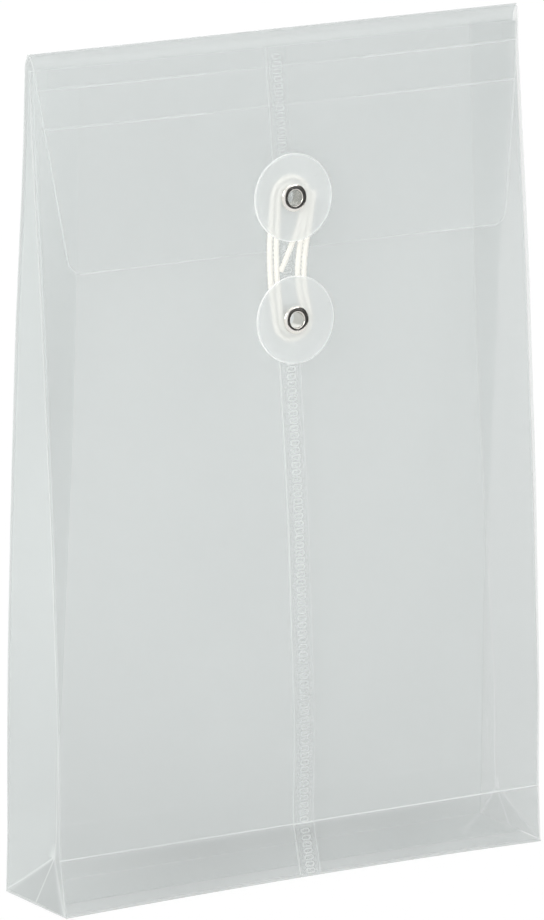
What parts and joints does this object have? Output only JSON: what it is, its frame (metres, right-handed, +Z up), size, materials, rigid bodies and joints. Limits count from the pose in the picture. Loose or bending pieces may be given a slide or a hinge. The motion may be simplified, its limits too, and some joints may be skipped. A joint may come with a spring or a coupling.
{
  "type": "string tie envelope",
  "caption": "Upright clear plastic envelope with gusseted sides, a block base and a tapered flap, tied shut by a string wound round button discs on eyelets.",
  "frame": {"origin": "middle of the base, on the surface that the envelope stands on", "axes": "+Z up, the front with the buttons faces -Y, +X to the right seen from the front"},
  "size_m": [0.1588, 0.033, 0.244],
  "materials": {
    "film": "frosted clear polypropylene sheet",
    "button": "clear polished plastic",
    "nickel": "bright nickel plate",
    "string": "white twisted cotton string"
  },
  "bodies": {
    "back": {"back_panel": "film", "back_foot": "film", "back_top_fold": "film", "left_gusset_back": "film", "right_gusset_back": "film", "base_outer_flap": "film", "base_inner_flap": "film"},
    "front": {"front_left_panel": "film", "front_right_panel": "film", "front_left_foot": "film", "front_right_foot": "film", "left_gusset_front": "film", "right_gusset_front": "film", "lower_eyelet": "nickel"},
    "flap_top": {"flap_top_fold": "film", "flap_top_strip": "film"},
    "flap_middle": {"flap_middle_strip": "film"},
    "flap_end": {"flap_panel": "film", "upper_eyelet": "nickel", "tie_string": "string"},
    "upper_button": {"upper_button": "button"},
    "lower_button": {"lower_button": "button"}
  },
  "joints": [
    {"name": "expansion_fold", "type": "hinge", "parent": "back", "child": "front", "pos_m": [0, 0, 0.2398], "axis": [1, 0, 0], "range_deg": [0, 6.3], "deforming": ["left_gusset_front", "left_gusset_back", "right_gusset_front", "right_gusset_back", "base_outer_flap", "base_inner_flap"]},
    {"name": "flap_hinge", "type": "hinge", "parent": "front", "child": "flap_top", "pos_m": [0, 0, 0.2398], "axis": [-1, 0, 0], "range_deg": [0, 180], "deforming": ["back_top_fold", "flap_top_fold", "tie_string"]},
    {"name": "flap_upper_score", "type": "hinge", "parent": "flap_top", "child": "flap_middle", "pos_m": [0, -0.00404, 0.23413], "axis": [-1, 0, 0], "range_deg": [0, 90], "deforming": ["tie_string"]},
    {"name": "flap_lower_score", "type": "hinge", "parent": "flap_middle", "child": "flap_end", "pos_m": [0, -0.0047, 0.22305], "axis": [-1, 0, 0], "range_deg": [0, 90], "deforming": ["tie_string"]},
    {"name": "upper_button_spin", "type": "hinge", "parent": "flap_end", "child": "upper_button", "pos_m": [0, -0.00913, 0.19727], "axis": [0, -0.9982, 0.0592], "continuous": true},
    {"name": "lower_button_spin", "type": "hinge", "parent": "front", "child": "lower_button", "pos_m": [0, -0.01035, 0.16238], "axis": [0, -0.9982, 0.0592], "continuous": true}
  ]
}
